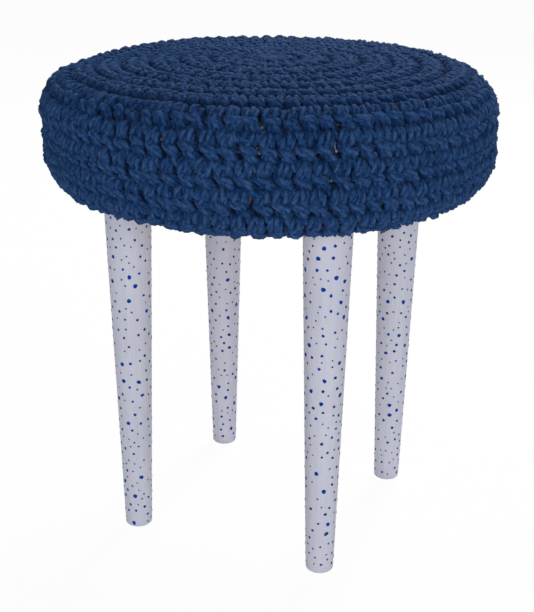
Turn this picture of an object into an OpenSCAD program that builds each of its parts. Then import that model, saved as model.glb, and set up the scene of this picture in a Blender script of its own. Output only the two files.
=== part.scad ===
// Round stool with a crocheted cover on four straight tapered legs.
// Millimetres. +Z is up, the floor is z = 0 and the seat's centre line is the Z axis.

/* [Seat] */
// Diameter of the plywood board and of the foam on it
board_d = 380; // [320:5:440]
// Thickness of the plywood board
board_t = 15; // [12:1:24]
// Height of the foam at the middle of the seat
foam_t = 57; // [48:1:90]
// Radius that the cover presses into the foam's upper edge
foam_edge_r = 30; // [15:1:38]
// How much higher the middle of the foam is than its shoulder
crown = 5; // [2:0.5:10]

/* [Crocheted cover] */
// Thickness of the crocheted fabric, over the crests of its rounds
fabric_t = 10; // [7:0.5:13]
// Height of one round of stitches, measured along the fabric
round_h = 24.5; // [18:0.5:32]
// Depth of the furrow between two rounds
furrow = 2.5; // [1:0.5:4]
// Radius inside the bend that takes the fabric under the board
hem_r = 21; // [14:0.5:25]
// Length of fabric that runs on inwards after that bend
hem_turn = 8; // [4:1:13]

/* [Legs] */
// Length of a leg
leg_len = 350; // [250:5:450]
// Diameter of a leg at its top
leg_top_d = 43; // [38:1:46]
// Diameter of a leg at the floor
foot_d = 25; // [20:1:34]
// Distance from the board's edge to the axis of a leg
leg_inset = 57; // [54:1:90]
// Radius on the edge of the foot
foot_edge_r = 2; // [1:0.5:4]
// Chamfer on the upper edge of the leg
leg_chamfer = 2; // [1:0.5:3]

/* [Leg plates] */
// Side of the square steel plate
plate_w = 60; // [56:1:70]
// Thickness of its sheet
plate_t = 2; // [1.5:0.5:3]
// Radius on the plate's corners
plate_corner_r = 7; // [3:1:10]
// Depth of the pressed dish that the leg butts against
dish_h = 6; // [4:0.5:8]
// Diameter of the dish's flat face
dish_d = 30; // [24:1:36]
// Distance between neighbouring screw holes of a plate
screw_spacing = 44; // [42:1:46]
// Outer diameter of the threaded collar at the middle of the dish
collar_d = 13; // [12:0.5:15]
// Height of the collar, from the dish's flat face
collar_h = 8; // [6:0.5:10]

/* [Fasteners] */
// Diameter of the hanger bolt's machine thread
bolt_d = 8; // [6:1:8]
// Length of its machine-thread half
bolt_thread_len = 10; // [8:1:12]
// Diameter of its wood-thread half
bolt_wood_d = 6.6; // [5:0.2:7.4]
// Length of its wood-thread half
bolt_wood_len = 35; // [25:1:45]
// Shank diameter of a plate screw
screw_d = 3.5; // [3:0.5:4]
// Length of a plate screw
screw_len = 12; // [9:1:12]
// Head diameter of a plate screw
screw_head_d = 7; // [6:0.5:8]

/* [Hidden] */
$fn = 96;

// Clearances: cover to foam and board, thread in its hole, board's pocket round a collar
cover_gap = 0.3;
thread_gap = 0.05;
pocket_gap = 1.5;
// Free depth left past a collar's or a fastener's end
end_gap = 1;

// Angles of the four legs about the seat's centre line
front_left_angle = -135;
front_right_angle = -45;
back_right_angle = 45;
back_left_angle = 135;

// Levels, from the floor up
flange_z = leg_len + dish_h;
board_z = flange_z + plate_t;
foam_z = board_z + board_t;
foam_top_z = foam_z + foam_t;

// The seat's section: a flat dome, a shoulder arc tangent to it, an upright side and the hem's bend.
// All of its offsets share these centres.
board_r = board_d / 2;
leg_circle_r = board_r - leg_inset;
shoulder_x = board_r - foam_edge_r;
shoulder_z = foam_top_z - crown - foam_edge_r;
dome_to_shoulder = (shoulder_x * shoulder_x + crown * crown) / (2 * crown);
dome_r = dome_to_shoulder + foam_edge_r;
dome_a = asin(shoulder_x / dome_to_shoulder);
hem_x = board_r + cover_gap - hem_r;
hem_z = board_z;

// The middle line of the fabric and the lengths of its five stretches
middle_off = cover_gap + fabric_t / 2;
dome_len = (dome_r + middle_off) * dome_a * PI / 180;
shoulder_len = (foam_edge_r + middle_off) * (90 - dome_a) * PI / 180;
side_len = shoulder_z - hem_z;
hem_bend_r = hem_r + fabric_t / 2;
hem_len = hem_bend_r * PI / 2;
fabric_len = dome_len + shoulder_len + side_len + hem_len + hem_turn;
shoulder_s = dome_len;
side_s = shoulder_s + shoulder_len;
hem_s = side_s + side_len;
turn_s = hem_s + hem_len;

// Whole rounds of stitches, from the seat's middle to the hem's inner edge
rounds = round(fabric_len / round_h);
round_len = fabric_len / rounds;
// Straight pieces that draw one round's outline, the foam's dome, its upper edge and the foot's edge
round_steps = 6;
dome_steps = 8;
edge_steps = 10;
foot_steps = 6;
// How far a solid that cuts runs past the face that it cuts
cut = 1;

// A point at radius r and angle a, measured from straight up, about a centre
function polar(x, z, r, a) = [x + r * sin(a), z + r * cos(a)];

// Lean of the fabric's outward normal from straight up, at length s along the middle line
function lean(s) =
    s < shoulder_s ? dome_a * s / dome_len :
    s < side_s ? dome_a + (90 - dome_a) * (s - shoulder_s) / shoulder_len :
    s < hem_s ? 90 :
    s < turn_s ? 90 + 90 * (s - hem_s) / hem_len :
    180;

// The middle line's point at length s
function middle(s) =
    s < shoulder_s ? polar(0, foam_top_z - dome_r, dome_r + middle_off, lean(s)) :
    s < side_s ? polar(shoulder_x, shoulder_z, foam_edge_r + middle_off, lean(s)) :
    s < hem_s ? [board_r + middle_off, shoulder_z - (s - side_s)] :
    s < turn_s ? polar(hem_x, hem_z, hem_bend_r, lean(s)) :
    [hem_x - (s - turn_s), hem_z - hem_bend_r];

// The same point moved outwards by off
function fabric_point(s, off) = middle(s) + off * [sin(lean(s)), cos(lean(s))];

// Height of a round's crest above its furrows: 0 in a furrow and 1 at mid round
function crest(s) = abs(sin(180 * s / round_len));

// Outline of one tapered leg: an arc on the foot's edge, a straight taper and a chamfer on top
function leg_outline() =
    let (
        top_r = leg_top_d / 2,
        arc_x = foot_d / 2 - foot_edge_r,
        taper_a = atan((top_r - foot_d / 2) / leg_len)
    )
    concat(
        [[0, 0]],
        [for (i = [0 : foot_steps])
            polar(arc_x, foot_edge_r, foot_edge_r, 180 - (90 + taper_a) * i / foot_steps)],
        [[top_r, leg_len - leg_chamfer], [top_r - leg_chamfer, leg_len], [0, leg_len]]
    );

// Puts a leg, or what goes with it, at its place on the leg circle
module at_leg(angle) {
    rotate([0, 0, angle]) translate([leg_circle_r, 0, 0]) children();
}

// The four screw places of a plate. One side of the plate faces the seat's rim.
module at_screws() {
    for (x = [-1, 1], y = [-1, 1])
        translate([x * screw_spacing / 2, y * screw_spacing / 2, 0]) children();
}

// A shell of fabric with one rib for each round of stitches, turned in under the board
module crochet_cover() {
    steps = rounds * round_steps;
    outside = [for (i = [0 : steps])
        let (s = fabric_len * i / steps)
        fabric_point(s, fabric_t / 2 - furrow * (1 - crest(s)))];
    inside = [for (i = [steps : -1 : 0]) fabric_point(fabric_len * i / steps, -fabric_t / 2)];
    color([0.08, 0.16, 0.36]) rotate_extrude() polygon(concat(outside, inside));
}

// Foam with a domed top and a pressed-in upper edge
module foam_pad() {
    dome = [for (i = [0 : dome_steps])
        polar(0, foam_top_z - dome_r, dome_r, dome_a * i / dome_steps)];
    edge = [for (i = [1 : edge_steps])
        polar(shoulder_x, shoulder_z, foam_edge_r, dome_a + (90 - dome_a) * i / edge_steps)];
    color([0.93, 0.9, 0.8])
        rotate_extrude() polygon(concat(dome, edge, [[board_r, foam_z], [0, foam_z]]));
}

// Plywood disc with a pocket for each bolt's end and a pilot hole for each screw
module seat_board() {
    pocket_depth = max(collar_h, bolt_thread_len) - dish_h - plate_t + end_gap;
    pilot_depth = screw_len - plate_t + end_gap;
    color([0.78, 0.62, 0.42]) difference() {
        translate([0, 0, board_z]) cylinder(h = board_t, d = board_d);
        for (angle = [front_left_angle, front_right_angle, back_right_angle, back_left_angle]) at_leg(angle) {
            translate([0, 0, board_z - cut])
                cylinder(h = pocket_depth + cut, d = collar_d + 2 * pocket_gap);
            at_screws() translate([0, 0, board_z - cut])
                cylinder(h = pilot_depth + cut, d = screw_d + 2 * thread_gap);
        }
    }
}

// Turned leg with a blind hole for the hanger bolt
module leg(angle) {
    hole_depth = bolt_wood_len + end_gap;
    color([0.85, 0.84, 0.9]) at_leg(angle) difference() {
        rotate_extrude() polygon(leg_outline());
        translate([0, 0, leg_len - hole_depth])
            cylinder(h = hole_depth + cut, d = bolt_wood_d + 2 * thread_gap);
    }
}

// Square flange with rounded corners, drawn by exact shapes
module flange() {
    core_w = plate_w - 2 * plate_corner_r;
    linear_extrude(plate_t) union() {
        square([plate_w, core_w], center = true);
        square([core_w, plate_w], center = true);
        for (x = [-1, 1], y = [-1, 1])
            translate([x * core_w / 2, y * core_w / 2]) circle(r = plate_corner_r);
    }
}

// Pressed steel plate: square flange, round dish with a sloping wall, and the threaded collar in it
module leg_plate(angle) {
    dish_r = dish_d / 2;
    // The dish's wall slopes at 45 degrees, and is as thick as the sheet
    dish_inner_r = dish_r - plate_t * (sqrt(2) - 1);
    dish_cut_h = dish_h + cut;
    head_r = screw_head_d / 2 + thread_gap;
    shank_r = screw_d / 2 + thread_gap;
    color([0.72, 0.73, 0.75]) at_leg(angle) difference() {
        union() {
            difference() {
                union() {
                    translate([0, 0, flange_z]) flange();
                    translate([0, 0, leg_len]) cylinder(h = dish_h, r1 = dish_r, r2 = dish_r + dish_h);
                }
                translate([0, 0, leg_len + plate_t])
                    cylinder(h = dish_cut_h, r1 = dish_inner_r, r2 = dish_inner_r + dish_cut_h);
            }
            translate([0, 0, leg_len]) cylinder(h = collar_h, d = collar_d);
        }
        translate([0, 0, leg_len - cut]) cylinder(h = collar_h + 2 * cut, d = bolt_d + 2 * thread_gap);
        at_screws() {
            translate([0, 0, flange_z - cut]) cylinder(h = plate_t + 2 * cut, r = shank_r);
            translate([0, 0, flange_z]) cylinder(h = plate_t, r1 = head_r, r2 = shank_r);
        }
    }
}

// Bolt with a pointed wood-thread half in the leg and a machine-thread half in the plate's collar
module hanger_bolt(angle) {
    point_h = bolt_wood_d;
    point_d = bolt_wood_d * 0.15;
    color([0.6, 0.6, 0.62]) at_leg(angle) translate([0, 0, leg_len]) {
        cylinder(h = bolt_thread_len, d = bolt_d);
        translate([0, 0, point_h - bolt_wood_len])
            cylinder(h = bolt_wood_len - point_h, d = bolt_wood_d);
        translate([0, 0, -bolt_wood_len])
            cylinder(h = point_h, d1 = point_d, d2 = bolt_wood_d);
    }
}

// The four countersunk screws of one plate, each with a cross recess
module plate_screws(angle) {
    point_h = screw_d;
    point_d = screw_d * 0.15;
    recess_w = screw_head_d / 7;
    recess_len = screw_head_d * 0.6;
    recess_h = plate_t * 0.7;
    color([0.8, 0.76, 0.6]) at_leg(angle) at_screws() translate([0, 0, flange_z]) difference() {
        union() {
            cylinder(h = plate_t, d1 = screw_head_d, d2 = screw_d);
            cylinder(h = screw_len - point_h, d = screw_d);
            translate([0, 0, screw_len - point_h]) cylinder(h = point_h, d1 = screw_d, d2 = point_d);
        }
        for (turn = [0, 90]) rotate([0, 0, turn])
            translate([-recess_len / 2, -recess_w / 2, -cut]) cube([recess_len, recess_w, recess_h + cut]);
    }
}

crochet_cover();
foam_pad();
seat_board();
leg(front_left_angle);  // leg_front_left
leg(front_right_angle);  // leg_front_right
leg(back_right_angle);  // leg_back_right
leg(back_left_angle);  // leg_back_left
leg_plate(front_left_angle);  // leg_plate_front_left
leg_plate(front_right_angle);  // leg_plate_front_right
leg_plate(back_right_angle);  // leg_plate_back_right
leg_plate(back_left_angle);  // leg_plate_back_left
hanger_bolt(front_left_angle);  // hanger_bolt_front_left
hanger_bolt(front_right_angle);  // hanger_bolt_front_right
hanger_bolt(back_right_angle);  // hanger_bolt_back_right
hanger_bolt(back_left_angle);  // hanger_bolt_back_left
plate_screws(front_left_angle);  // plate_screws_front_left
plate_screws(front_right_angle);  // plate_screws_front_right
plate_screws(back_right_angle);  // plate_screws_back_right
plate_screws(back_left_angle);  // plate_screws_back_left
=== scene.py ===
"""Looks of a round stool in a crocheted cover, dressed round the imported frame."""

import math

import bpy
import numpy as np
from mathutils import Matrix, Vector


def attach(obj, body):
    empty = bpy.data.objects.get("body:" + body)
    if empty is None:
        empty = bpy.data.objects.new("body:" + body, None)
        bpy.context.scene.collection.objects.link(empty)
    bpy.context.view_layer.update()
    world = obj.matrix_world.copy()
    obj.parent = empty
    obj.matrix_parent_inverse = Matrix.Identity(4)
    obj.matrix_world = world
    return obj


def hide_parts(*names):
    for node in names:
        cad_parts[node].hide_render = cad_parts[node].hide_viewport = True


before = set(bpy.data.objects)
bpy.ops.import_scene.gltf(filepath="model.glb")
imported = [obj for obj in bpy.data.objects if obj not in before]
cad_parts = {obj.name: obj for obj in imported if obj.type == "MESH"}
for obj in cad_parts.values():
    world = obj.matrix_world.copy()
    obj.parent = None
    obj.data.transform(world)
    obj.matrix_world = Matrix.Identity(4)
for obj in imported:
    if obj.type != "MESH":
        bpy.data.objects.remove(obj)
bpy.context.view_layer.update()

# Sizes of the solids, in millimetres, from the floor up
MM = 0.001
BOARD_R = 190.0
BOARD_Z = 358.0
FOAM_Z = 373.0
FOAM_TOP_Z = 430.0
FOAM_EDGE_R = 30.0
CROWN = 5.0
COVER_GAP = 0.3
FABRIC_T = 10.0
HEM_R = 21.0
HEM_TURN = 8.0
LEG_CIRCLE_R = 133.0
LEG_LEN = 350.0
LEG_TOP_D = 43.0
FOOT_D = 25.0
CORNERS = {"front_left": -135.0, "front_right": -45.0, "back_right": 45.0, "back_left": 135.0}

# The seat's section and the middle line of the fabric
SHOULDER_X = BOARD_R - FOAM_EDGE_R
SHOULDER_Z = FOAM_TOP_Z - CROWN - FOAM_EDGE_R
DOME_TO_SHOULDER = (SHOULDER_X ** 2 + CROWN ** 2) / (2 * CROWN)
DOME_R = DOME_TO_SHOULDER + FOAM_EDGE_R
DOME_A = math.asin(SHOULDER_X / DOME_TO_SHOULDER)
HEM_X = BOARD_R + COVER_GAP - HEM_R
HEM_Z = BOARD_Z
MIDDLE = COVER_GAP + FABRIC_T / 2
DOME_LEN = (DOME_R + MIDDLE) * DOME_A
SHOULDER_LEN = (FOAM_EDGE_R + MIDDLE) * (math.pi / 2 - DOME_A)
SIDE_LEN = SHOULDER_Z - HEM_Z
HEM_BEND_R = HEM_R + FABRIC_T / 2
HEM_LEN = HEM_BEND_R * math.pi / 2
FABRIC_LEN = DOME_LEN + SHOULDER_LEN + SIDE_LEN + HEM_LEN + HEM_TURN
# Where the dark grooves between the rounds lie along the section, as measured in the photograph
GROOVES = [25.0, 52.0, 79.5, 106.0, 130.0, 152.5, 174.5, 196.5, 218.5, 240.5, 262.5, 284.0]
# The holes that a round is worked into lie a little below its groove
GROOVE_TO_HOLE = 2.5
# The first round starts this far from the middle of the seat, and the last one ends just before the edge
FIRST_START = 4.5
LAST_MARGIN = 1.0
ROUND_ENDS = [groove + GROOVE_TO_HOLE for groove in GROOVES] + [FABRIC_LEN - LAST_MARGIN]
# No yarn lies nearer to the middle of the seat than this
NEAREST_S = 2.5

# The yarn, and one double-crochet stitch: its pitch along the round and its height
YARN_R = 3.5
YARN_PLIES = 3
PLY_LAY = 30.0
YARN_SIDES = 12
PITCH = 14.0
STITCH_H = 22.0
# Each round starts a little behind the one before it, and a post leans forward
DRIFT = -0.16
LEAN = 0.30
# Each round on top grows by one group of stitches, the side keeps its count, and the hem decreases
TOP_ROUNDS = 7
TOP_GROUP = 12
SIDE_STITCHES = 84
LAST_STITCHES = 76
FIRST_ANGLE = math.radians(-66.0)
# Two stitches in one hole: how far each stands aside, how wide it is there, and how a round's pairs shift
PAIR_ASIDE = 0.24
PAIR_WIDTH = 0.62
PAIR_SHIFT = 0.37
# Where the work is stretched and the foam shows between the stitches
GAP_ROUNDS = (9, 10)
GAP_ANGLE = math.radians(-63.5)
GAP_WIDTH = 0.13
GAP_V = 0.5
GAP_SPREAD = 0.24
GAP_SQUEEZE = 0.2
# The work sinks into a groove where two rounds meet, and each post stands out as a ridge
GROOVE_DEPTH = {"top": 4.2, "side": 3.0}
GROOVE_WIDTH = 3.3
SWELL = -0.4
RIDGE = {"top": 0.5, "side": 0.6}
TOP_TO_SIDE = (165, 202)
# A stitch lies flatter on top than on the side
FLATTENED = {"top": 0.68, "side": 1.0}
# Hand tension: how far the yarn wanders, how often within a stitch, a whole stitch against that, and each way
WANDER = {"top": 0.45, "side": 1.15}
WANDERS_A_STITCH = 7
STITCH_WANDER = 1.5
WANDER_UP = 0.50
WANDER_ALONG = 0.50
WANDER_OUT = 0.40
# Nearer to the middle of the seat the yarn wanders no further round than at this radius
WANDER_R = 12.0
# Each round runs a little up and down: how far, how many times round, and its phase at round 0 and per round
WAVES = [(0.9, 2, 1.3, 0.0), (0.5, 5, 0.0, 0.4)]
# Azimuths that face left and right of the camera, where the cover's hand-made shape departs from round
LEFT = math.radians(204.0)
RIGHT = math.radians(24.0)
# A stretch of lengths that the section never reaches
PAST_THE_HEM = (1000, 1001)
# How far out that shape goes, round which azimuth and how wide, and where along the section it comes and goes
HAND_SHAPE = [
    (2.2, LEFT, 0.6, (178, 196), (196, 228)),
    (-2.8, LEFT - 0.2, 0.6, (90, 135), (174, 190)),
    (-1.2, RIGHT, 0.8, (150, 180), PAST_THE_HEM)]
# How far the hem is pulled up all round, how much further round two azimuths, and over which lengths
HEM_LIFT = 1.5
HEM_LIFTS = [(3.5, LEFT + 0.42, 0.75), (1.5, RIGHT - 0.3, 0.7)]
HEM_LIFTED = (232, 262)
# How far each stitch bulges at the bottom of the hem, and over which lengths that comes
HEM_BULGE = 1.8
HEM_BULGED = (256, 270)
# How far yarn may sink into the foam, how much less over the board's edge, and where that comes and goes
FOAM_GIVE = 6.5
BOARD_HOLDS = 3.7
BOARD_EDGE = ((228, 238), (252, 262))

# The yarn's surface: steps along it in sight and out of it, how deep its plies part, and its unevenness
SEEN_STEP = 1.75
HIDDEN_STEP = 2.4
HIDDEN_BELOW = -1.2
PLY_DEPTH = 0.30
PLY_ROUNDNESS = 0.8
UNEVEN = 0.55
# Painted shade in the yarn's hollows: relief runs from 0 at the deepest yarn to 1 at the highest, over a
# smaller range on flat parts
RELIEF_LOW = 3.0
RELIEF_RANGE = 8.0
RELIEF_FLAT = 3.0
# A row of the map for baking holds about a whole number of these lengths of yarn, with a margin on each side
BAKE_LENGTH = 190.0
BAKE_MARGIN = 0.04

# The foam lies a little inside its solid, and its side swells where the work over it is stretched
FOAM_INSET = 3.2
FOAM_SWELL = 3.6
FOAM_SWELL_WIDTH = 0.22
FOAM_SWELL_HEIGHT = 0.4
FOAM_SIDE_DEPTH = 25.0
FOAM_STEPS = 160
FOAM_BEND_STEPS = 12

# Large, medium and small dots: range of radius, room round each, and the share of dots placed by then
DOT_KINDS = [(1.75, 2.15, 8.6, 0.11), (1.20, 1.55, 6.7, 0.55), (0.80, 1.12, 5.4, 1.0)]
# The rest of the medium dots is navy, and the rest of the small ones pale
BLUE_OF_MEDIUM = 0.45
NAVY_OF_SMALL = 0.35
# The leg's surface for each dot, in square millimetres
DOT_AREA = 86.0
DOT_LOWEST = 4.5
DOT_TOP_MARGIN = 4.0
# Dots further apart than this in height don't touch
DOT_REACH = 10.0
DOT_TRIES = 60000
FIRST_DOT_SEED = 3
# A dot's dome: its corners, its rings as shares of radius and height, its rim and its bottom under the paint
DOT_CORNERS = 14
DOT_RINGS = [(0.62, 0.82), (0.9, 0.42)]
DOT_RIM = -0.08
DOT_BOTTOM = -0.35

# Veneers of the board, in pairs of one along and one across
VENEER_PAIRS = 5.5

# How white the floor looks to straight rays, and how strongly the world lights the object
FLOOR_SEEN = 0.96
WORLD_LIGHT = 0.215
FLOOR_HALF = 20000.0
# Lamps: azimuth and elevation in degrees, distance and size in metres, and power
LAMPS = {"key": (36, 18, 5.5, 2.1, 100), "fill": (8, 7, 6.0, 2.6, 120), "top": (178, 44, 2.4, 0.7, 55)}
LAMPS_LOOK_AT = Vector((0, 0, 0.25))

# The camera that the photograph was fitted with
CAMERA_AT = Vector((0.4187, -0.9436, 0.6001))
CAMERA_TURN = math.radians(23.93)
CAMERA_YAW = math.radians(-0.09)
CAMERA_PITCH = math.radians(20.91)
CAMERA_ROLL = math.radians(0.42)
FOCAL_PX = 1167.64
PHOTO_H = 612
SENSOR = 36.0


def fabric_point(s, off):
    """Radius and height of the fabric's middle line at length s, moved outwards by off."""
    s = np.asarray(s, float)
    dome_lean = DOME_A * s / DOME_LEN
    shoulder_lean = DOME_A + (math.pi / 2 - DOME_A) * (s - DOME_LEN) / SHOULDER_LEN
    side_s = DOME_LEN + SHOULDER_LEN
    hem_s = side_s + SIDE_LEN
    turn_s = hem_s + HEM_LEN
    hem_lean = math.pi / 2 + math.pi / 2 * (s - hem_s) / HEM_LEN
    where = [s < DOME_LEN, s < side_s, s < hem_s, s < turn_s]
    lean = np.select(where, [dome_lean, shoulder_lean, math.pi / 2, hem_lean], math.pi)
    dome_x = (DOME_R + MIDDLE) * np.sin(lean)
    dome_z = FOAM_TOP_Z - DOME_R + (DOME_R + MIDDLE) * np.cos(lean)
    shoulder_x = SHOULDER_X + (FOAM_EDGE_R + MIDDLE) * np.sin(lean)
    shoulder_z = SHOULDER_Z + (FOAM_EDGE_R + MIDDLE) * np.cos(lean)
    hem_x = HEM_X + HEM_BEND_R * np.sin(lean)
    hem_z = HEM_Z + HEM_BEND_R * np.cos(lean)
    x = np.select(where, [dome_x, shoulder_x, BOARD_R + MIDDLE, hem_x], HEM_X - (s - turn_s))
    z = np.select(where, [dome_z, shoulder_z, SHOULDER_Z - (s - side_s), hem_z], HEM_Z - HEM_BEND_R)
    return x + off * np.sin(lean), z + off * np.cos(lean)


def bump(angle, centre, width):
    """A smooth rise of 1 round an azimuth."""
    away = (angle - centre + math.pi) % (2 * math.pi) - math.pi
    return np.exp(-(away / width) ** 2)


def rise(s, start, end):
    """A smooth step from 0 at start to 1 at end."""
    f = np.clip((s - start) / (end - start), 0, 1)
    return f * f * (3 - 2 * f)


def top_to_side(pair, s):
    """A value that changes from the top of the seat to its side."""
    return pair["top"] + (pair["side"] - pair["top"]) * rise(s, *TOP_TO_SIDE)


def new_object(name, vertices, faces, smooth=True):
    """A mesh object from millimetre points."""
    mesh = bpy.data.meshes.new(name)
    mesh.from_pydata((np.asarray(vertices) * MM).tolist(), [], faces)
    if smooth:
        mesh.polygons.foreach_set("use_smooth", [True] * len(mesh.polygons))
    mesh.update()
    obj = bpy.data.objects.new(name, mesh)
    bpy.context.scene.collection.objects.link(obj)
    return obj


# Materials


def node_material(name):
    """A new material, its node tree and its shader."""
    mat = bpy.data.materials.new(name)
    mat.use_nodes = True
    tree = mat.node_tree
    return mat, tree, tree.nodes["Principled BSDF"]


def add(tree, kind, **values):
    """A node whose sockets or properties have the given values."""
    node = tree.nodes.new(kind)
    for key, value in values.items():
        if key in node.inputs:
            node.inputs[key].default_value = value
        else:
            setattr(node, key, value)
    return node


def ramp(tree, source, stops):
    """The colour of a ramp with the given stops at the source's value."""
    node = tree.nodes.new("ShaderNodeValToRGB")
    tree.links.new(source, node.inputs["Fac"])
    elements = node.color_ramp.elements
    while len(elements) < len(stops):
        elements.new(0.5)
    for element, (position, colour) in zip(elements, stops):
        element.position = position
        element.color = (*colour, 1)
    return node.outputs["Color"]


def noise(tree, place, **values):
    """Noise at a place, with the given scale and detail."""
    node = add(tree, "ShaderNodeTexNoise", **values)
    tree.links.new(place, node.inputs["Vector"])
    return node.outputs["Fac"]


def bumped(tree, height, strength, distance, under=None):
    """A normal that follows the height, over another normal where one is given."""
    node = add(tree, "ShaderNodeBump", Strength=strength, Distance=distance)
    tree.links.new(height, node.inputs["Height"])
    if under is not None:
        tree.links.new(under, node.inputs["Normal"])
    return node.outputs["Normal"]


def scaled(tree, place, scale, turn=0.0):
    """A place stretched by scale and turned by degrees about Z."""
    node = add(tree, "ShaderNodeMapping")
    node.inputs["Scale"].default_value = scale
    node.inputs["Rotation"].default_value = (0, 0, math.radians(turn))
    tree.links.new(place, node.inputs["Vector"])
    return node.outputs["Vector"]


def weighted_sum(tree, terms, offset):
    """offset plus each source times its weight."""
    total = None
    for source, weight in terms:
        step = add(tree, "ShaderNodeMath", operation="MULTIPLY_ADD")
        tree.links.new(source, step.inputs[0])
        step.inputs[1].default_value = weight
        if total is None:
            step.inputs[2].default_value = offset
        else:
            tree.links.new(total, step.inputs[2])
        total = step.outputs["Value"]
    return total


def strand_noise(tree, uv, along, across, turn, detail):
    """Noise stretched along the yarn, in features a millimetre, at a slant to its plies."""
    return noise(tree, scaled(tree, uv, (along, across, 1), turn), Scale=1.0, Detail=detail, Roughness=0.62)


def yarn_material():
    """Navy yarn, with fibres and streaks along its plies, and painted shade in its hollows and between its
    plies.
    """
    mat, tree, shader = node_material("yarn_blue")
    link = tree.links.new
    uv = add(tree, "ShaderNodeUVMap", uv_map="strand").outputs["UV"]
    # Painted shade in the grooves between the plies, from the distance to them; v runs once round the strand
    split = add(tree, "ShaderNodeSeparateXYZ")
    link(uv, split.inputs["Vector"])
    turn = add(tree, "ShaderNodeMath", operation="MULTIPLY")
    turn.inputs[1].default_value = YARN_PLIES / (2 * YARN_R)
    link(split.outputs["Y"], turn.inputs[0])
    wave = add(tree, "ShaderNodeMath", operation="COSINE")
    link(turn.outputs["Value"], wave.inputs[0])
    ply_groove_shade = add(tree, "ShaderNodeMath", operation="ABSOLUTE")
    link(wave.outputs["Value"], ply_groove_shade.inputs[0])
    place = add(tree, "ShaderNodeTexCoord").outputs["Object"]
    fibre = strand_noise(tree, uv, 0.50, 1.6, 14, 5.0)
    streak = strand_noise(tree, uv, 0.20, 0.62, 20, 3.0)
    cloud = noise(tree, place, Scale=300.0, Detail=4.0, Roughness=0.6)
    fuzz = noise(tree, place, Scale=1400.0, Detail=3.0)
    # Painted shade: the hollows between the strands are darker in colour, by how deep the yarn lies
    relief_shade = add(tree, "ShaderNodeAttribute", attribute_name="relief_shade").outputs["Fac"]
    # Each source with its weight and its mean, so that the sum lies about the middle of the ramp. The ramp
    # runs from deep navy, in the painted shade of the hollows, to a greyer blue that stands for lighter
    # fibres and for painted highlight on the crests
    sources = [
        (fibre, 1.3, 0.5), (streak, 1.1, 0.5), (cloud, 0.7, 0.5), (ply_groove_shade.outputs["Value"], 0.22, 0.64),
        (relief_shade, 0.60, 0.62)]
    offset = 0.5 - sum(weight * mean for _, weight, mean in sources)
    light = weighted_sum(tree, [(source, weight) for source, weight, _ in sources], offset)
    link(ramp(tree, light, [
        (0.0, (0.0012, 0.0105, 0.045)), (0.28, (0.0028, 0.0175, 0.067)), (0.5, (0.0060, 0.0300, 0.103)),
        (0.72, (0.0140, 0.0500, 0.148)), (1.0, (0.0380, 0.0900, 0.225))]), shader.inputs["Base Color"])
    shader.inputs["Roughness"].default_value = 0.92
    shader.inputs["Specular IOR Level"].default_value = 0.08
    shader.inputs["Sheen Weight"].default_value = 0.05
    shader.inputs["Sheen Roughness"].default_value = 0.45
    shader.inputs["Sheen Tint"].default_value = (0.40, 0.55, 0.90, 1)
    coarse = bumped(tree, fibre, 0.55, 0.0007)
    link(bumped(tree, fuzz, 0.35, 0.0003, under=coarse), shader.inputs["Normal"])
    return mat


def paint_material():
    """Pale lilac paint with faint brush strokes."""
    mat, tree, shader = node_material("lilac_paint")
    link = tree.links.new
    place = add(tree, "ShaderNodeTexCoord").outputs["Object"]
    # Brush strokes run along the leg
    strokes = noise(tree, scaled(tree, place, (260, 260, 9)), Scale=1.0, Detail=4.0, Roughness=0.6)
    patch = noise(tree, place, Scale=22.0, Detail=2.0)
    base = ramp(tree, strokes, [
        (0.25, (0.496, 0.501, 0.598)), (0.55, (0.533, 0.540, 0.640)), (0.8, (0.560, 0.566, 0.666))])
    tint = ramp(tree, patch, [(0.35, (0.965, 0.965, 0.975)), (0.65, (1.02, 1.015, 1.01))])
    mix = add(tree, "ShaderNodeMix", data_type="RGBA", blend_type="MULTIPLY")
    mix.inputs["Factor"].default_value = 1.0
    link(base, mix.inputs["A"])
    link(tint, mix.inputs["B"])
    link(mix.outputs["Result"], shader.inputs["Base Color"])
    rough = ramp(tree, strokes, [(0.3, (0.40, 0.40, 0.40)), (0.7, (0.50, 0.50, 0.50))])
    link(rough, shader.inputs["Roughness"])
    shader.inputs["Specular IOR Level"].default_value = 0.15
    link(bumped(tree, strokes, 0.18, 0.0004), shader.inputs["Normal"])
    return mat


def dot_material(name, dark, light):
    """The paint of a dot, a little uneven in colour."""
    mat, tree, shader = node_material(name)
    link = tree.links.new
    place = add(tree, "ShaderNodeTexCoord").outputs["Object"]
    blot = noise(tree, place, Scale=420.0, Detail=2.0)
    link(ramp(tree, blot, [(0.35, dark), (0.68, light)]), shader.inputs["Base Color"])
    shader.inputs["Roughness"].default_value = 0.7
    shader.inputs["Specular IOR Level"].default_value = 0.05
    link(bumped(tree, blot, 0.2, 0.0002), shader.inputs["Normal"])
    return mat


def foam_material():
    """Cream foam with fine cells."""
    mat, tree, shader = node_material("foam_cream")
    link = tree.links.new
    place = add(tree, "ShaderNodeTexCoord").outputs["Object"]
    cells = add(tree, "ShaderNodeTexVoronoi", Scale=900.0)
    link(place, cells.inputs["Vector"])
    cloud = noise(tree, place, Scale=40.0, Detail=3.0)
    link(ramp(tree, cloud, [(0.3, (0.86, 0.85, 0.80)), (0.7, (0.93, 0.92, 0.88))]),
         shader.inputs["Base Color"])
    shader.inputs["Roughness"].default_value = 0.95
    link(bumped(tree, cells.outputs["Distance"], 0.6, 0.0005), shader.inputs["Normal"])
    return mat


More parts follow.
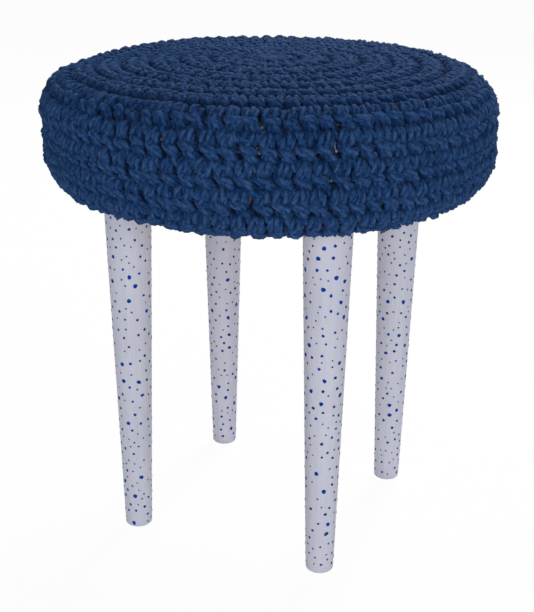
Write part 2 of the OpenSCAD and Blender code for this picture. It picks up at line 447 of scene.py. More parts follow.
def plywood_material():
    """Birch plywood, with veneers on its edge and grain on its faces."""
    mat, tree, shader = node_material("birch_plywood")
    link = tree.links.new
    place = add(tree, "ShaderNodeTexCoord").outputs["Object"]
    split = add(tree, "ShaderNodeSeparateXYZ")
    link(place, split.inputs["Vector"])
    # Eleven veneers through the thickness, every other one cut across its fibres
    pairs_per_metre = VENEER_PAIRS / ((FOAM_Z - BOARD_Z) * MM)
    height = weighted_sum(tree, [(split.outputs["Z"], pairs_per_metre)], -BOARD_Z * MM * pairs_per_metre)
    wave = add(tree, "ShaderNodeMath", operation="FRACT")
    link(height, wave.inputs[0])
    layers = ramp(tree, wave.outputs["Value"], [
        (0.0, (0.46, 0.27, 0.12)), (0.46, (0.50, 0.30, 0.14)), (0.5, (0.70, 0.47, 0.25)),
        (0.97, (0.72, 0.50, 0.28))])
    grain = noise(tree, scaled(tree, place, (9, 150, 150)), Scale=1.0, Detail=6.0, Distortion=1.2)
    face = ramp(tree, grain, [
        (0.3, (0.56, 0.38, 0.21)), (0.55, (0.68, 0.50, 0.31)), (0.75, (0.74, 0.57, 0.38))])
    geometry = add(tree, "ShaderNodeNewGeometry")
    normal = add(tree, "ShaderNodeSeparateXYZ")
    link(geometry.outputs["Normal"], normal.inputs["Vector"])
    flat = add(tree, "ShaderNodeMath", operation="ABSOLUTE")
    link(normal.outputs["Z"], flat.inputs[0])
    mix = add(tree, "ShaderNodeMix", data_type="RGBA")
    link(flat.outputs["Value"], mix.inputs["Factor"])
    link(layers, mix.inputs["A"])
    link(face, mix.inputs["B"])
    link(mix.outputs["Result"], shader.inputs["Base Color"])
    shader.inputs["Roughness"].default_value = 0.7
    link(bumped(tree, grain, 0.25, 0.0004), shader.inputs["Normal"])
    return mat


def metal_material(name, dark, light, roughness, scale):
    """Plated steel with a faint spangle."""
    mat, tree, shader = node_material(name)
    link = tree.links.new
    place = add(tree, "ShaderNodeTexCoord").outputs["Object"]
    spangle = noise(tree, place, Scale=scale, Detail=4.0, Roughness=0.6)
    link(ramp(tree, spangle, [(0.3, dark), (0.7, light)]), shader.inputs["Base Color"])
    rough = ramp(tree, spangle, [(0.3, (roughness,) * 3), (0.7, (roughness + 0.15,) * 3)])
    link(rough, shader.inputs["Roughness"])
    shader.inputs["Metallic"].default_value = 1.0
    link(bumped(tree, spangle, 0.15, 0.0002), shader.inputs["Normal"])
    return mat


YARN = yarn_material()
PAINT = paint_material()
FOAM = foam_material()
PLYWOOD = plywood_material()
ZINC = metal_material("zinc_plate", (0.55, 0.56, 0.58), (0.68, 0.69, 0.71), 0.32, 260.0)
BOLT = metal_material("bolt_zinc", (0.46, 0.46, 0.48), (0.58, 0.58, 0.60), 0.35, 500.0)
SCREW = metal_material("yellow_zinc", (0.60, 0.50, 0.28), (0.72, 0.64, 0.42), 0.3, 700.0)
DOTS = [
    dot_material("dot_blue", (0.000, 0.034, 0.250), (0.000, 0.060, 0.350)),
    dot_material("dot_navy", (0.000, 0.036, 0.150), (0.001, 0.056, 0.220)),
    dot_material("dot_pale", (0.040, 0.110, 0.240), (0.075, 0.180, 0.340)),
]

# Yarn


def stitch_knots():
    """Route of the yarn through one double-crochet stitch.

    u runs along the round, v with the growth of the work and w out of the fabric, in millimetres.
    The stitch's hole in the round below is at u = 0, v = 0.
    """
    h = STITCH_H
    top = LEAN * PITCH
    back_of_last_top = [(top - PITCH + 1.0, 0.90 * h, -2.4), (-4.6, 0.92 * h, -2.4)]
    wrap_round_post = [
        (-0.6, 0.89 * h, -2.0), (3.2, 0.84 * h, -1.8), (5.8, 0.77 * h, -0.6), (5.6, 0.69 * h, 1.6),
        (2.4, 0.62 * h, 2.8), (-1.2, 0.54 * h, 2.7), (-4.2, 0.46 * h, 1.2), (-4.6, 0.38 * h, -1.0),
        (-2.8, 0.24 * h, -2.8), (-1.4, 0.06 * h, -3.0)]
    lower_loop = [
        (-1.7, -0.08 * h, -2.0), (-2.0, -0.17 * h, 0.6), (-2.2, -0.10 * h, 2.6), (-2.6, 0.04 * h, 3.0),
        (-3.0, 0.20 * h, 2.7), (-2.6, 0.36 * h, 1.4), (-1.4, 0.47 * h, -0.4), (0.9, 0.53 * h, -1.2),
        (3.0, 0.47 * h, -0.2), (3.6, 0.36 * h, 1.6), (3.3, 0.20 * h, 2.7), (2.6, 0.04 * h, 3.0),
        (2.0, -0.10 * h, 2.6), (1.8, -0.17 * h, 0.6), (2.2, -0.08 * h, -2.0), (2.4, 0.06 * h, -3.0),
        (1.4, 0.24 * h, -2.8)]
    upper_loop = [
        (-0.2, 0.36 * h, -1.4), (-0.6, 0.44 * h, 0.8), (-0.4, 0.58 * h, 0.6), (0.6, 0.72 * h, 1.8),
        (1.4, 0.84 * h, 1.8), (top - 1.2, 0.95 * h, 0.0), (top + 0.8, 0.99 * h, -1.2),
        (top + 2.6, 0.93 * h, 0.0), (top + 2.4, 0.80 * h, 1.8), (4.6, 0.68 * h, 0.8), (3.0, 0.54 * h, 0.6),
        (2.4, 0.44 * h, 0.6), (2.4, 0.37 * h, -1.4), (3.6, 0.46 * h, -2.8), (4.4, 0.64 * h, -3.0)]
    top_chain = [
        (top + 1.2, 0.80 * h, -2.8), (top + 0.6, 0.88 * h, -0.4), (top - 0.2, 0.97 * h, 0.4),
        (top + 1.6, 1.06 * h, 0.4), (top + 5.0, 1.08 * h, 0.6), (top + 9.0, 1.05 * h, 0.8),
        (top + 12.6, 1.00 * h, 0.6), (top + 14.4, 0.97 * h, -0.6), (top + 12.6, 0.98 * h, -2.2),
        (top + 9.0, 1.00 * h, -2.9), (top + 5.0, 1.00 * h, -2.9), (top + 2.2, 1.03 * h, -2.2),
        (top - 0.2, 1.00 * h, -1.8), (top - 0.2, 0.93 * h, -2.6)]
    return np.array(back_of_last_top + wrap_round_post + lower_loop + upper_loop + top_chain)


def swell(s):
    """How far the middle line moves out at length s: a groove at the end of each round."""
    near = np.min(np.abs(np.asarray(s)[:, None] - np.array(GROOVES)[None, :]), axis=1)
    return SWELL - top_to_side(GROOVE_DEPTH, s) * np.exp(-(near / GROOVE_WIDTH) ** 2)


def catmull(points, fine):
    """Points on a smooth curve through open points, at fractional indices."""
    last = len(points) - 1
    i = np.clip(np.floor(fine).astype(int), 0, last - 1)
    f = (fine - i)[:, None]
    a, b, c, d = (points[np.clip(i + k, 0, last)] for k in (-1, 0, 1, 2))
    square = (2 * a - 5 * b + 4 * c - d) * f ** 2
    cube = (3 * b - a - 3 * c + d) * f ** 3
    return 0.5 * (2 * b + (c - a) * f + square + cube)


def relaxed_stitch(count=84, steps=300):
    """The stitch pulled tight: the yarn keeps its length, bends evenly and rests on its neighbours."""
    # Strands meet at this distance, and lie between two heights
    touch = 3.6
    low, high = -3.2, 2.9
    # The yarn is shortened to this share of its length over the first steps
    shorten = 0.88
    shortening_steps = 0.6 * steps
    length_passes = 4
    # How firmly it keeps its drawn place, bends evenly and is pushed away, and the longest push
    hold = 0.05
    stiffness = 0.12
    push_share = 0.25
    longest_push = 0.35
    next_stitch = np.array([PITCH, 0, 0.0])
    next_row = np.array([DRIFT * PITCH, STITCH_H, 0.0])
    knots = stitch_knots()
    loop = np.vstack([knots[-2:] - next_stitch, knots, knots[:3] + next_stitch])
    fine = catmull(loop, 2 + np.arange(0, len(knots) + 1e-9, 1 / 24))
    arc = np.concatenate([[0], np.cumsum(np.linalg.norm(np.diff(fine, axis=0), axis=1))])
    want = np.linspace(0, arc[-1], count, endpoint=False)
    drawn = np.stack([np.interp(want, arc, fine[:, k]) for k in range(3)], axis=1)
    points = drawn
    index = np.arange(count)
    images = [(stitches, rows) for stitches in (-2, -1, 0, 1, 2) for rows in (-1, 0, 1)]
    for it in range(steps):
        share = min(1.0, it / shortening_steps)
        rest = arc[-1] * (1 - (1 - shorten) * share) / count
        for _ in range(length_passes):
            to_next = np.vstack([points[1:], points[:1] + next_stitch]) - points
            span = np.linalg.norm(to_next, axis=1, keepdims=True)
            pull = 0.5 * (span - rest) / span * to_next
            points = points + 0.5 * (pull - np.roll(pull, 1, axis=0))
        ahead = np.vstack([points[1:], points[:1] + next_stitch])
        behind = np.vstack([points[-1:] - next_stitch, points[:-1]])
        ahead2 = np.vstack([points[2:], points[:2] + next_stitch])
        behind2 = np.vstack([points[-2:] - next_stitch, points[:-2]])
        points = points + stiffness * (4 * (ahead + behind) - ahead2 - behind2 - 6 * points) / 6
        push = np.zeros_like(points)
        for stitches, rows in images:
            away = points[:, None, :] - (points + stitches * next_stitch + rows * next_row)[None, :, :]
            distance = np.sqrt((away ** 2).sum(-1)) + 1e-9
            if rows == 0:
                # Neighbours along the same strand don't push each other
                along = np.abs(index[:, None] - (index[None, :] + stitches * count)) * rest
                distance = np.where(along < 1.5 * touch, 1e3, distance)
            pushed = push_share * np.clip(touch - distance, 0, None) / distance
            push += (pushed[:, :, None] * away).sum(1)
        size = np.linalg.norm(push, axis=1, keepdims=True)
        points = points + push * np.minimum(1, longest_push / (size + 1e-9))
        points = points + hold * (drawn - points)
        points[:, 2] = np.clip(points[:, 2], low, high)
    return points


def stitch_count(k):
    """How many stitches round k holds."""
    if k == len(ROUND_ENDS):
        return LAST_STITCHES
    return TOP_GROUP * k if k <= TOP_ROUNDS else SIDE_STITCHES


def round_plan():
    """Base and top angles and pitches of each round's stitches, from the middle outwards."""
    plan = []
    start = FIRST_ANGLE
    for k in range(1, len(ROUND_ENDS) + 1):
        count = stitch_count(k)
        below = count if k == 1 else plan[-1]["count"]
        top_pitch = 2 * math.pi / count
        below_pitch = 2 * math.pi / below
        extra = count - below
        # The stitches that share a hole with the one before them
        shared = set()
        if extra > 0:
            offset = (k * PAIR_SHIFT) % 1.0
            shared = {int((i + offset) * count / extra) % count for i in range(extra)}
        base = np.zeros(count)
        width = np.full(count, below_pitch)
        hole = 0.0
        for j in range(count):
            if j in shared:
                base[j] = hole - 1 + PAIR_ASIDE
                base[j - 1] -= PAIR_ASIDE
                width[j] = width[j - 1] = PAIR_WIDTH * below_pitch
            else:
                base[j] = hole
                hole += 1
        if extra < 0:
            base = base * below / count
            width[:] = top_pitch
        base = base * below_pitch
        top = np.arange(count) * top_pitch
        shift = (base - top).mean()
        plan.append({"count": count, "base": start + base, "width": width,
                     "top": start + shift + top, "pitch": top_pitch})
        start = start + shift + DRIFT * top_pitch
    return plan


def smooth_noise(rng, count, n, knots):
    """Seeded offsets along a closed round of count stitches of n points, with knots values a stitch."""
    values = rng.normal(0, 1.0, (count * knots, 3))
    at = np.arange(count * n) / n * knots
    i = np.floor(at).astype(int)
    f = at - i
    f = (f * f * (3 - 2 * f))[:, None]
    return values[i % len(values)] * (1 - f) + values[(i + 1) % len(values)] * f


def yarn_round(k, plan, cell, rng):
    """One round's yarn as a closed loop of millimetre points.

    Gives the points, how far each lies out of the fabric's middle line, and the way out at each.
    """
    n = len(cell)
    count = plan["count"]
    u, v, w = cell[:, 0] / PITCH, cell[:, 1] / STITCH_H, cell[:, 2]
    blend = np.clip(v, 0, 1)
    blend = blend * blend * (3 - 2 * blend)
    base, width, top = plan["base"][:, None], plan["width"][:, None], plan["top"][:, None]
    centre = base + (top - base) * blend[None, :]
    pitch = width + (plan["pitch"] - width) * blend[None, :]
    squeeze = np.zeros_like(centre)
    if k in GAP_ROUNDS:
        middle_of_stitch = np.exp(-((v - GAP_V) / GAP_SPREAD) ** 2)[None, :]
        squeeze = GAP_SQUEEZE * bump(centre, GAP_ANGLE, GAP_WIDTH) * middle_of_stitch
    angle = (centre + u[None, :] * (1 - squeeze) * pitch).ravel()
    # The yarn wanders a little, and every stitch sits a little differently
    wander = WANDER["top"] if k <= TOP_ROUNDS else WANDER["side"]
    within = smooth_noise(rng, count, n, WANDERS_A_STITCH)
    stray = wander * (within + STITCH_WANDER * smooth_noise(rng, count, n, 1))
    start_s = FIRST_START if k == 1 else ROUND_ENDS[k - 2]
    s = start_s + np.tile(v, count) * (ROUND_ENDS[k - 1] - start_s)
    radius, _ = fabric_point(np.clip(s, 0, None), 0)
    post = np.tile(np.cos(2 * math.pi * (u - LEAN * v)), count)
    out = np.tile(w, count) * top_to_side(FLATTENED, s)
    out = out + top_to_side(RIDGE, s) * post + WANDER_OUT * stray[:, 2]
    out = out + HEM_BULGE * rise(s, *HEM_BULGED) * post
    out = out + swell(s)
    level = out
    for way_out, azimuth, spread, comes, goes in HAND_SHAPE:
        out = out + way_out * bump(angle, azimuth, spread) * rise(s, *comes) * (1 - rise(s, *goes))
    # The foam gives way under the yarn, the board's edge hardly does
    deepest = -FOAM_GIVE + BOARD_HOLDS * rise(s, *BOARD_EDGE[0]) * (1 - rise(s, *BOARD_EDGE[1]))
    out = np.maximum(out, deepest)
    s = s + WANDER_UP * stray[:, 0]
    for height, waves, phase, turned in WAVES:
        s = s + height * np.sin(waves * angle + (phase + turned * k))
    angle = angle + WANDER_ALONG * stray[:, 1] / np.maximum(radius, WANDER_R)
    s = np.maximum(s, NEAREST_S)
    r, z = fabric_point(s, out)
    far_r, far_z = fabric_point(s, out + 1)
    away_r, away_z = far_r - r, far_z - z
    lift = HEM_LIFT
    for height, azimuth, spread in HEM_LIFTS:
        lift = lift + height * bump(angle, azimuth, spread)
    z = z + lift * rise(s, *HEM_LIFTED)
    points = np.stack([r * np.cos(angle), r * np.sin(angle), z], axis=1)
    outward = np.stack([away_r * np.cos(angle), away_r * np.sin(angle), away_z], axis=1)
    return points, level, outward


def closed_loop(values):
    """Values of a closed loop with two more before them and three after, for smooth curves."""
    return np.concatenate([values[-2:], values, values[:3]])


def tube(points, out, outward):
    """A closed, twisted, lobed tube of yarn along a loop of points.

    Gives its vertices and faces, the length at each ring, the whole length and the relief, which paints shade
    into the yarn's hollows.
    """
    n = len(points)
    # Four steps from each point to the next, then smoothed
    fine_at = 2 + np.arange(0, n, 1 / 4)
    fine = catmull(closed_loop(points), fine_at)
    for _ in range(4):
        fine = 0.25 * np.roll(fine, 1, axis=0) + 0.5 * fine + 0.25 * np.roll(fine, -1, axis=0)
    knot_at = np.arange(n + 5)
    fine_out = np.interp(fine_at, knot_at, closed_loop(out))
    outward_loop = closed_loop(outward)
    fine_outward = np.stack([np.interp(fine_at, knot_at, outward_loop[:, k]) for k in range(3)], axis=1)
    # Short steps in front, longer ones behind, where the fabric hides them
    span = np.linalg.norm(np.roll(fine, -1, axis=0) - fine, axis=1)
    weight = span / np.where(fine_out > HIDDEN_BELOW, SEEN_STEP, HIDDEN_STEP)
    steps = np.concatenate([[0], np.cumsum(weight)])
    rings = int(steps[-1])
    at = np.interp(np.arange(rings) * steps[-1] / rings, steps, np.arange(len(steps)))
    closed = np.vstack([fine, fine[:1]])
    i = np.floor(at).astype(int)
    f = (at - i)[:, None]
    middle = closed[i] * (1 - f) + closed[np.minimum(i + 1, len(closed) - 1)] * f
    arc_fine = np.concatenate([[0], np.cumsum(span)])
    arc = np.interp(at, np.arange(len(arc_fine)), arc_fine)
    total = arc_fine[-1]
    along = np.roll(middle, -1, axis=0) - np.roll(middle, 1, axis=0)
    along /= np.linalg.norm(along, axis=1, keepdims=True)
    # Frames carried along the curve without twist, then closed evenly
    normal = np.zeros_like(middle)
    first = np.cross(along[0], [0.0, 0.0, 1.0])
    normal[0] = first / np.linalg.norm(first)
    for q in range(1, rings):
        carried = normal[q - 1] - along[q] * along[q].dot(normal[q - 1])
        normal[q] = carried / math.sqrt(carried.dot(carried))
    end = normal[-1] - along[0] * along[0].dot(normal[-1])
    end /= np.linalg.norm(end)
    first_side = np.cross(along[0], normal[0])
    gap = math.atan2(end.dot(first_side), end.dot(normal[0]))
    turns = round(total / PLY_LAY * YARN_PLIES) / YARN_PLIES
    twist = (2 * math.pi * turns - gap) * arc / total
    side = np.cross(along, normal)
    # The plies stand out as lobes, and the fibres make them uneven
    corner_angle = np.linspace(0, 2 * math.pi, YARN_SIDES, endpoint=False)
    lobe = np.abs(np.cos(YARN_PLIES * corner_angle / 2))
    shape = YARN_R * (1 - PLY_DEPTH + PLY_DEPTH * lobe ** PLY_ROUNDNESS)
    rough = np.random.default_rng(rings).normal(0, 1.0, (rings, YARN_SIDES))
    rough = 0.5 * rough + 0.25 * np.roll(rough, 1, axis=1) + 0.25 * np.roll(rough, -1, axis=1)
    turned = (corner_angle[None, :] + twist[:, None])[:, :, None]
    way = np.cos(turned) * normal[:, None, :] + np.sin(turned) * side[:, None, :]
    vertices = middle[:, None, :] + (shape[None, :] + UNEVEN * rough)[:, :, None] * way
    this_ring = np.arange(rings)[:, None] * YARN_SIDES
    next_ring = ((np.arange(rings) + 1) % rings)[:, None] * YARN_SIDES
    corner = np.arange(YARN_SIDES)[None, :]
    next_corner = (corner + 1) % YARN_SIDES
    faces = np.stack([
        this_ring + corner, this_ring + next_corner, next_ring + next_corner, next_ring + corner],
        axis=2).reshape(-1, 4)
    # How far each vertex lies out of the fabric's middle line, as a share from its hollows to its ridges, for
    # the painted shade in the hollows
    nearest = np.minimum(i, len(fine_out) - 1)
    ring_outward = fine_outward[nearest]
    from_ring = ((vertices - middle[:, None, :]) * ring_outward[:, None, :]).sum(2)
    height = fine_out[nearest][:, None] + from_ring
    flat = RELIEF_FLAT * np.clip(ring_outward[:, 2:3], 0, 1)
    relief_shade = np.clip((height + RELIEF_LOW - flat) / (RELIEF_RANGE - flat), 0, 1)
    return vertices.reshape(-1, 3), faces, arc, total, relief_shade.ravel()


def yarn_object(name, vertices, faces, arc, total, relief_shade):
    """The tube as a mesh, with a map along its strands and one for baking."""
    mesh = bpy.data.meshes.new(name)
    mesh.vertices.add(len(vertices))
    mesh.vertices.foreach_set("co", (vertices * MM).ravel())
    mesh.loops.add(faces.size)
    mesh.loops.foreach_set("vertex_index", faces.ravel())
    mesh.polygons.add(len(faces))
    mesh.polygons.foreach_set("loop_start", np.arange(len(faces)) * 4)
    mesh.update(calc_edges=True)
    mesh.polygons.foreach_set("use_smooth", [True] * len(faces))
    rings = len(arc)
    ahead = np.append(arc[1:], total)
    around = 2 * math.pi * YARN_R
    j = np.arange(YARN_SIDES)
    corner_v = np.stack([j, j + 1, j + 1, j], axis=1)[None, :, :].repeat(rings, axis=0) / YARN_SIDES

    def ring_corners(start, end):
        """Values at each face's corners, from those of the rings at its start and end."""
        return np.stack([start, start, end, end], axis=1)[:, None, :].repeat(YARN_SIDES, axis=1)

    def add_map(map_name, u, v):
        """A map with the given values at each face's corners."""
        layer = mesh.uv_layers.new(name=map_name)
        layer.data.foreach_set("uv", np.stack([u, v], axis=3).astype(np.float32).ravel())

    add_map("strand", ring_corners(arc, ahead), corner_v * around)
    # Strips of the tube in rows that fill a square; 0.9999 keeps the last ring in the last row
    columns = max(1, round(math.sqrt(total * around) / BAKE_LENGTH))
    rows = math.ceil(total / (BAKE_LENGTH * columns))
    length = total / rows
    row = np.floor(arc / length * 0.9999)
    row_u = ring_corners((arc - row * length) / length, np.minimum((ahead - row * length) / length, 1.0))
    row_v = row[:, None, None] + BAKE_MARGIN + (1 - 2 * BAKE_MARGIN) * corner_v
    add_map("OFBake", row_u, row_v / rows)
    # The relief, which the yarn's material turns into painted shade in the hollows
    level = mesh.attributes.new("relief_shade", "FLOAT", "POINT")
    level.data.foreach_set("value", relief_shade.astype(np.float32))
    mesh.validate()
    obj = bpy.data.objects.new(name, mesh)
    bpy.context.scene.collection.objects.link(obj)
    obj.data.materials.append(YARN)
    return obj


stitch = relaxed_stitch()
cover_rng = np.random.default_rng(11)
for number, plan in enumerate(round_plan(), start=1):
    strand = tube(*yarn_round(number, plan, stitch, cover_rng))
    piece = yarn_object("crochet_round_%02d" % number, *strand)
    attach(piece, "root")
    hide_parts("crochet_cover")

# Foam


def lathe(name, outline, steps):
    """A closed turned form from (radius, height) points that start and end on the axis."""
    inner = outline[1:-1]
    vertices = [(0, 0, outline[0][1])]
    for r, z in inner:
        for i in range(steps):
            a = 2 * math.pi * i / steps
            vertices.append((r * math.cos(a), r * math.sin(a), z))
    vertices.append((0, 0, outline[-1][1]))
    faces = []
    for i in range(steps):
        faces.append((0, 1 + i, 1 + (i + 1) % steps))
    for q in range(len(inner) - 1):
        a, b = 1 + q * steps, 1 + (q + 1) * steps
        for i in range(steps):
            faces.append((a + i, b + i, b + (i + 1) % steps, a + (i + 1) % steps))
    last = 1 + (len(inner) - 1) * steps
    for i in range(steps):
        faces.append((last + i, len(vertices) - 1, last + (i + 1) % steps))
    return new_object(name, vertices, faces)


def foam_outline():
    """The foam's section: a dome, a round shoulder, a straight side and a softened lower edge."""
    section = [(0, FOAM_TOP_Z - FOAM_INSET)]
    for i in range(1, FOAM_BEND_STEPS + 1):
        a = DOME_A * i / FOAM_BEND_STEPS
        section.append((DOME_R * math.sin(a), FOAM_TOP_Z - DOME_R + DOME_R * math.cos(a) - FOAM_INSET))
    r = FOAM_EDGE_R - FOAM_INSET
    for i in range(1, FOAM_BEND_STEPS + 1):
        a = DOME_A + (math.pi / 2 - DOME_A) * i / FOAM_BEND_STEPS
        section.append((SHOULDER_X + r * math.sin(a), SHOULDER_Z + r * math.cos(a)))
    side = BOARD_R - FOAM_INSET
    return section + [(side, FOAM_Z + 3), (side - 0.8, FOAM_Z + 0.4), (side - 2, FOAM_Z), (0, FOAM_Z)]


def swell_foam(foam):
    """Moves the foam's side out where the work over it is stretched."""
    low = fabric_point(ROUND_ENDS[GAP_ROUNDS[1] - 1], 0)[1]
    high = fabric_point(ROUND_ENDS[GAP_ROUNDS[0] - 2], 0)[1]
    for vertex in foam.data.vertices:
        x, y, z = vertex.co / MM
        if math.hypot(x, y) > BOARD_R - FOAM_SIDE_DEPTH:
            near = bump(math.atan2(y, x), GAP_ANGLE, FOAM_SWELL_WIDTH)
            share = near * bump((z - (low + high) / 2) / (high - low), 0, FOAM_SWELL_HEIGHT)
            away = 1 + FOAM_SWELL * share / max(math.hypot(x, y), 1)
            vertex.co = (x * away * MM, y * away * MM, z * MM)


foam = lathe("foam_dressed", foam_outline(), FOAM_STEPS)
swell_foam(foam)
foam.data.materials.append(FOAM)
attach(foam, "root")
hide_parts("foam_pad")

# Painted dots


def leg_radius(z):
    """The leg's radius at a height."""
    return (FOOT_D + (LEG_TOP_D - FOOT_D) * z / LEG_LEN) / 2


def place_dots(rng):
    """Turn, height and kind of each dot on a leg, with room between them."""
    placed = []
    tries = 0
    area = math.pi * (FOOT_D + LEG_TOP_D) / 2 * LEG_LEN
    goal = int(area / DOT_AREA)
    while len(placed) < goal and tries < DOT_TRIES:
        tries += 1
        share = len(placed) / goal
        kind = next(i for i, values in enumerate(DOT_KINDS) if share < values[3])
        z = rng.uniform(DOT_LOWEST, LEG_LEN + DOT_TOP_MARGIN)
        # Fewer places where the leg is thinner
        if rng.uniform(0, LEG_TOP_D / 2) > leg_radius(z):
            continue
        turn = rng.uniform(0, 2 * math.pi)
        clear = z < LEG_LEN - DOT_TOP_MARGIN
        for other_turn, other_z, other_kind in placed:
            dz = other_z - z
            if abs(dz) > DOT_REACH:
                continue
            dx = ((other_turn - turn + math.pi) % (2 * math.pi) - math.pi) * leg_radius(z)
            room = (DOT_KINDS[kind][2] + DOT_KINDS[other_kind][2]) / 2
            if dx * dx + dz * dz < room ** 2:
                clear = False
                break
        if clear:
            placed.append((turn, z, kind))
    return placed


def dots_on_leg(name, angle, seed):
    """Hand-painted dots of mixed sizes, as low domes of paint on the tapered leg."""
    rng = np.random.default_rng(seed)
    axis = (LEG_CIRCLE_R * math.cos(math.radians(angle)), LEG_CIRCLE_R * math.sin(math.radians(angle)))
    vertices, faces, mats = [], [], []

    def put(turn, z, x, y, up):
        """A point x round the leg and y up from a dot's middle, raised by up."""
        phi = turn + x / leg_radius(z)
        r = leg_radius(z + y) + up
        vertices.append((axis[0] + r * math.cos(phi), axis[1] + r * math.sin(phi), z + y))

    for turn, z, kind in place_dots(rng):
        radius = rng.uniform(DOT_KINDS[kind][0], DOT_KINDS[kind][1])
        stretch = rng.uniform(0.91, 1.10) if kind else rng.uniform(0.88, 1.16)
        tilt = rng.uniform(0, math.pi)
        pull = rng.uniform(0, 0.16) if kind < 2 else 0.05
        tail = rng.uniform(0, 2 * math.pi)
        height = 0.10 + 0.10 * radius
        first = len(vertices)
        put(turn, z, 0, 0, height)
        for scale, up in [(scale, height * share) for scale, share in DOT_RINGS] + [(1.0, DOT_RIM)]:
            for i in range(DOT_CORNERS):
                a = 2 * math.pi * i / DOT_CORNERS
                edge = 1 + pull * math.cos(a - tail) ** 3 + 0.05 * math.sin(3 * a + tail)
                x = radius * edge * scale * stretch * math.cos(a)
                y = radius * edge * scale / stretch * math.sin(a)
                put(turn, z, x * math.cos(tilt) - y * math.sin(tilt),
                    x * math.sin(tilt) + y * math.cos(tilt), up)
        put(turn, z, 0, 0, DOT_BOTTOM)
        bottom = len(vertices) - 1
        # The large dots are blue, the medium ones blue or navy and the small ones navy or pale
        if kind == 0:
            mat = 0
        elif kind == 1:
            mat = 0 if rng.uniform() < BLUE_OF_MEDIUM else 1
        else:
            mat = 1 if rng.uniform() < NAVY_OF_SMALL else 2
        # The top, the bands between the rings down to the rim, and the bottom
        rim = first + 1 + len(DOT_RINGS) * DOT_CORNERS
        for i in range(DOT_CORNERS):
            k = (i + 1) % DOT_CORNERS
            faces.append((first, first + 1 + i, first + 1 + k))
            for a in range(first + 1, rim, DOT_CORNERS):
                b = a + DOT_CORNERS
                faces.append((a + i, b + i, b + k, a + k))
            faces.append((rim + i, bottom, rim + k))
            mats += [mat] * (len(DOT_RINGS) + 2)
    obj = new_object(name, vertices, faces)
    for mat in DOTS:
        obj.data.materials.append(mat)
    obj.data.polygons.foreach_set("material_index", mats)
    return obj


for seed, (corner_name, angle) in enumerate(CORNERS.items(), start=FIRST_DOT_SEED):
    dots = dots_on_leg("painted_dots_" + corner_name, angle, seed)
    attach(dots, "root")

# Finishes of the solids

FINISH = {"seat_board": PLYWOOD}
for corner_name in CORNERS:
    FINISH["leg_" + corner_name] = PAINT
    FINISH["leg_plate_" + corner_name] = ZINC
    FINISH["hanger_bolt_" + corner_name] = BOLT
    FINISH["plate_screws_" + corner_name] = SCREW
for node_name, material in FINISH.items():
    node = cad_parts[node_name]
    node.data.materials.clear()
    node.data.materials.append(material)

# Stage, lights and camera


def straight_rays(tree):
    """1 for rays of the camera, of reflections and of glass, 0 for rays that light the object."""
    path = add(tree, "ShaderNodeLightPath")
    first = add(tree, "ShaderNodeMath", operation="MAXIMUM")
    tree.links.new(path.outputs["Is Camera Ray"], first.inputs[0])
    tree.links.new(path.outputs["Is Glossy Ray"], first.inputs[1])
    both = add(tree, "ShaderNodeMath", operation="MAXIMUM")
    tree.links.new(first.outputs["Value"], both.inputs[0])
    tree.links.new(path.outputs["Is Transmission Ray"], both.inputs[1])
    return both.outputs["Value"]


def stage_material():
    """A matt floor that looks almost white to straight rays and still takes the object's shadow."""
    mat, tree, shader = node_material("white_stage")
    link = tree.links.new
    shader.inputs["Base Color"].default_value = (0.9, 0.9, 0.9, 1)
    shader.inputs["Roughness"].default_value = 0.9
    shader.inputs["Specular IOR Level"].default_value = 0.0
    white = add(tree, "ShaderNodeEmission")
    white.inputs["Color"].default_value = (1, 1, 1, 1)
    white.inputs["Strength"].default_value = 1.0
    seen = add(tree, "ShaderNodeMath", operation="MULTIPLY")
    seen.inputs[1].default_value = FLOOR_SEEN
    link(straight_rays(tree), seen.inputs[0])
    mix = add(tree, "ShaderNodeMixShader")
    link(seen.outputs["Value"], mix.inputs["Fac"])
    link(shader.outputs["BSDF"], mix.inputs[1])
    link(white.outputs["Emission"], mix.inputs[2])
    link(mix.outputs["Shader"], tree.nodes["Material Output"].inputs["Surface"])
    return mat


def make_world():
    """Soft light from all round, white to straight rays."""
    world = bpy.data.worlds.new("studio")
    bpy.context.scene.world = world
    world.use_nodes = True
    tree = world.node_tree
    dim = tree.nodes["Background"]
    dim.inputs["Color"].default_value = (1, 1, 1, 1)
    dim.inputs["Strength"].default_value = WORLD_LIGHT
    bright = add(tree, "ShaderNodeBackground")
    bright.inputs["Color"].default_value = (1, 1, 1, 1)
    bright.inputs["Strength"].default_value = 1.0
    mix = add(tree, "ShaderNodeMixShader")
    tree.links.new(straight_rays(tree), mix.inputs["Fac"])
    tree.links.new(dim.outputs["Background"], mix.inputs[1])
    tree.links.new(bright.outputs["Background"], mix.inputs[2])
    tree.links.new(mix.outputs["Shader"], tree.nodes["World Output"].inputs["Surface"])


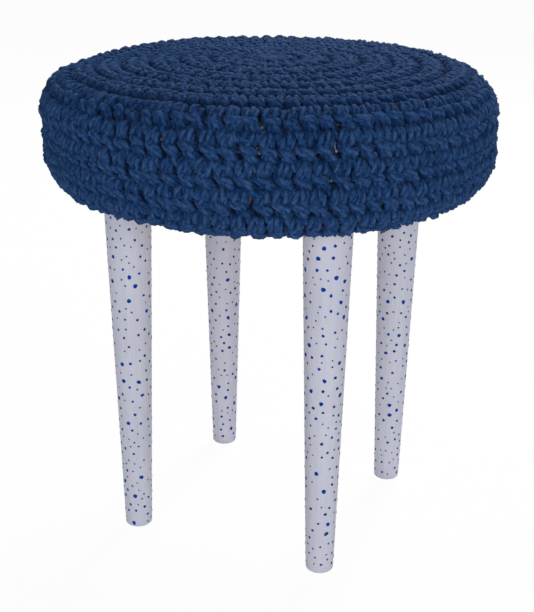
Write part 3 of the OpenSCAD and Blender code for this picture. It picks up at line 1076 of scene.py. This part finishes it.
def area_light(name, azimuth, elevation, distance, size, power):
    """A soft lamp that looks at the stool. Azimuth 0 is the front, counted towards +X."""
    light = bpy.data.lights.new(name, "AREA")
    light.energy = power
    light.size = size
    obj = bpy.data.objects.new(name, light)
    a, e = math.radians(azimuth), math.radians(elevation)
    away = Vector((math.sin(a) * math.cos(e), -math.cos(a) * math.cos(e), math.sin(e)))
    obj.location = LAMPS_LOOK_AT + away * distance
    obj.rotation_euler = away.to_track_quat("Z", "Y").to_euler()
    bpy.context.scene.collection.objects.link(obj)


def make_camera():
    """The fitted camera, turned, tilted and rolled as the photograph was taken."""
    ahead = Matrix.Rotation(CAMERA_TURN, 3, "Z") @ Vector((
        math.sin(CAMERA_YAW) * math.cos(CAMERA_PITCH),
        math.cos(CAMERA_YAW) * math.cos(CAMERA_PITCH),
        -math.sin(CAMERA_PITCH)))
    right = ahead.cross(Vector((0, 0, 1))).normalized()
    up = right.cross(ahead)
    right_rolled = right * math.cos(CAMERA_ROLL) + up * math.sin(CAMERA_ROLL)
    up_rolled = up * math.cos(CAMERA_ROLL) - right * math.sin(CAMERA_ROLL)
    data = bpy.data.cameras.new("photo_camera")
    data.sensor_width = SENSOR
    data.lens = SENSOR * FOCAL_PX / PHOTO_H
    camera = bpy.data.objects.new("photo_camera", data)
    pose = Matrix((right_rolled, up_rolled, -ahead)).transposed().to_4x4()
    pose.translation = CAMERA_AT
    camera.matrix_world = pose
    bpy.context.scene.collection.objects.link(camera)
    bpy.context.scene.camera = camera


floor = new_object(
    "studio_floor",
    [(-FLOOR_HALF, -FLOOR_HALF, 0), (FLOOR_HALF, -FLOOR_HALF, 0), (FLOOR_HALF, FLOOR_HALF, 0),
     (-FLOOR_HALF, FLOOR_HALF, 0)],
    [(0, 1, 2, 3)], smooth=False)
floor.data.materials.append(stage_material())
make_world()
for lamp_name, values in LAMPS.items():
    area_light(lamp_name, *values)
make_camera()

bpy.context.scene.view_settings.view_transform = "Standard"

bpy.context.view_layer.update()
